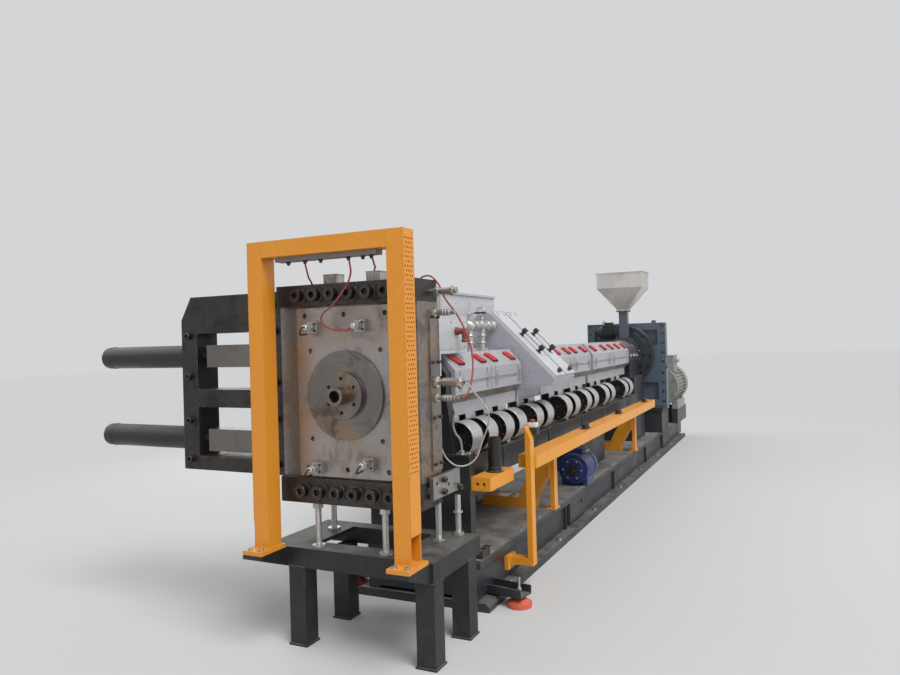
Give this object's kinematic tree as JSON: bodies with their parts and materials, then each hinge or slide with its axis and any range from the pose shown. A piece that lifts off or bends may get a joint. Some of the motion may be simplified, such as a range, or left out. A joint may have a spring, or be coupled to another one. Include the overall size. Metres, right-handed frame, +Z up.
{
  "type": "plastic extruder",
  "caption": "Single-screw plastic extruder line with covered, air-cooled barrel, hydraulic screen changer on a table, guard portal, gearbox, motor and hopper.",
  "frame": {"origin": "middle of the footprint, on the floor", "axes": "+Z up, +Y from the die end to the motor along the screw, +X to the side with the blowers"},
  "size_m": [2.479, 8.714, 2.32],
  "materials": {
    "floor_rails": "worn, dusty",
    "base_frame": "worn, dusty",
    "deck_plate": "scuffed, dusty",
    "levelling_feet": "satin, scuffed",
    "front_pedestal": "satin",
    "rear_pedestals": "satin",
    "fan_tray": "satin",
    "barrel": "heat tinted",
    "cover": "satin",
    "cover_latches": "bright",
    "heater_plugs": "satin",
    "blower": "satin",
    "vent_housing": "satin",
    "vent_lids": "satin",
    "vacuum_pipe": "polished",
    "front_casing": "satin",
    "tower_casing": "satin",
    "feed_section": "painted, oily",
    "feed_throat": "satin",
    "hopper": "satin",
    "feeder_drive": "satin",
    "gearbox_flange": "painted",
    "gearbox": "satin",
    "coupling_guard": "satin",
    "main_motor": "satin",
    "die_table": "dusty, worn",
    "changer_block": "heat tinted, stained",
    "face_plate": "machined, stained",
    "melt_flange": "heat tinted",
    "clamp_bars": "dark, oily",
    "block_sensors": "satin",
    "support_bars": "worn",
    "jack_screws": "zinc plated",
    "yoke": "dark, oily",
    "slide_bars": "dark, oily",
    "changer_cylinders": "satin",
    "portal_frame": "satin",
    "perforated_covers": "satin",
    "cable_strip": "satin",
    "side_rail": "satin, scuffed",
    "rail_posts": "satin, scuffed",
    "stub_beam": "satin, scuffed",
    "cable_tube": "satin",
    "pump_motor": "satin, dusty",
    "heater_leads": "braided",
    "sensor_lead": "braided"
  },
  "bodies": {
    "root": {"floor_rails": "floor_rails", "base_frame": "base_frame", "deck_plate": "deck_plate", "levelling_feet": "levelling_feet", "front_pedestal": "front_pedestal", "rear_pedestals": "rear_pedestals", "fan_tray": "fan_tray", "barrel": "barrel", "barrel_cover_1": "cover", "barrel_cover_2": "cover", "barrel_cover_3": "cover", "barrel_cover_4": "cover", "barrel_cover_5": "cover", "barrel_cover_6": "cover", "cover_latches": "cover_latches", "heater_plugs": "heater_plugs", "blower_1": "blower", "blower_2": "blower", "blower_3": "blower", "blower_4": "blower", "blower_5": "blower", "blower_6": "blower", "blower_7": "blower", "vent_housing": "vent_housing", "vent_lids": "vent_lids", "vacuum_pipe": "vacuum_pipe", "front_casing": "front_casing", "tower_casing": "tower_casing", "feed_section": "feed_section", "feed_throat": "feed_throat", "hopper": "hopper", "feeder_drive": "feeder_drive", "gearbox_flange": "gearbox_flange", "gearbox": "gearbox", "coupling_guard": "coupling_guard", "main_motor": "main_motor", "die_table": "die_table", "changer_block": "changer_block", "face_plate": "face_plate", "melt_flange": "melt_flange", "clamp_bars": "clamp_bars", "block_sensors": "block_sensors", "support_bars": "support_bars", "jack_screws": "jack_screws", "yoke": "yoke", "slide_bars": "slide_bars", "changer_cylinders": "changer_cylinders", "portal_frame": "portal_frame", "perforated_covers": "perforated_covers", "cable_strip": "cable_strip", "side_rail": "side_rail", "rail_posts": "rail_posts", "stub_beam": "stub_beam", "cable_tube": "cable_tube", "pump_motor": "pump_motor", "heater_lead_1": "heater_leads", "heater_lead_2": "heater_leads", "heater_lead_3": "heater_leads", "heater_lead_4": "heater_leads", "sensor_lead": "sensor_lead"}
  },
  "joints": []
}
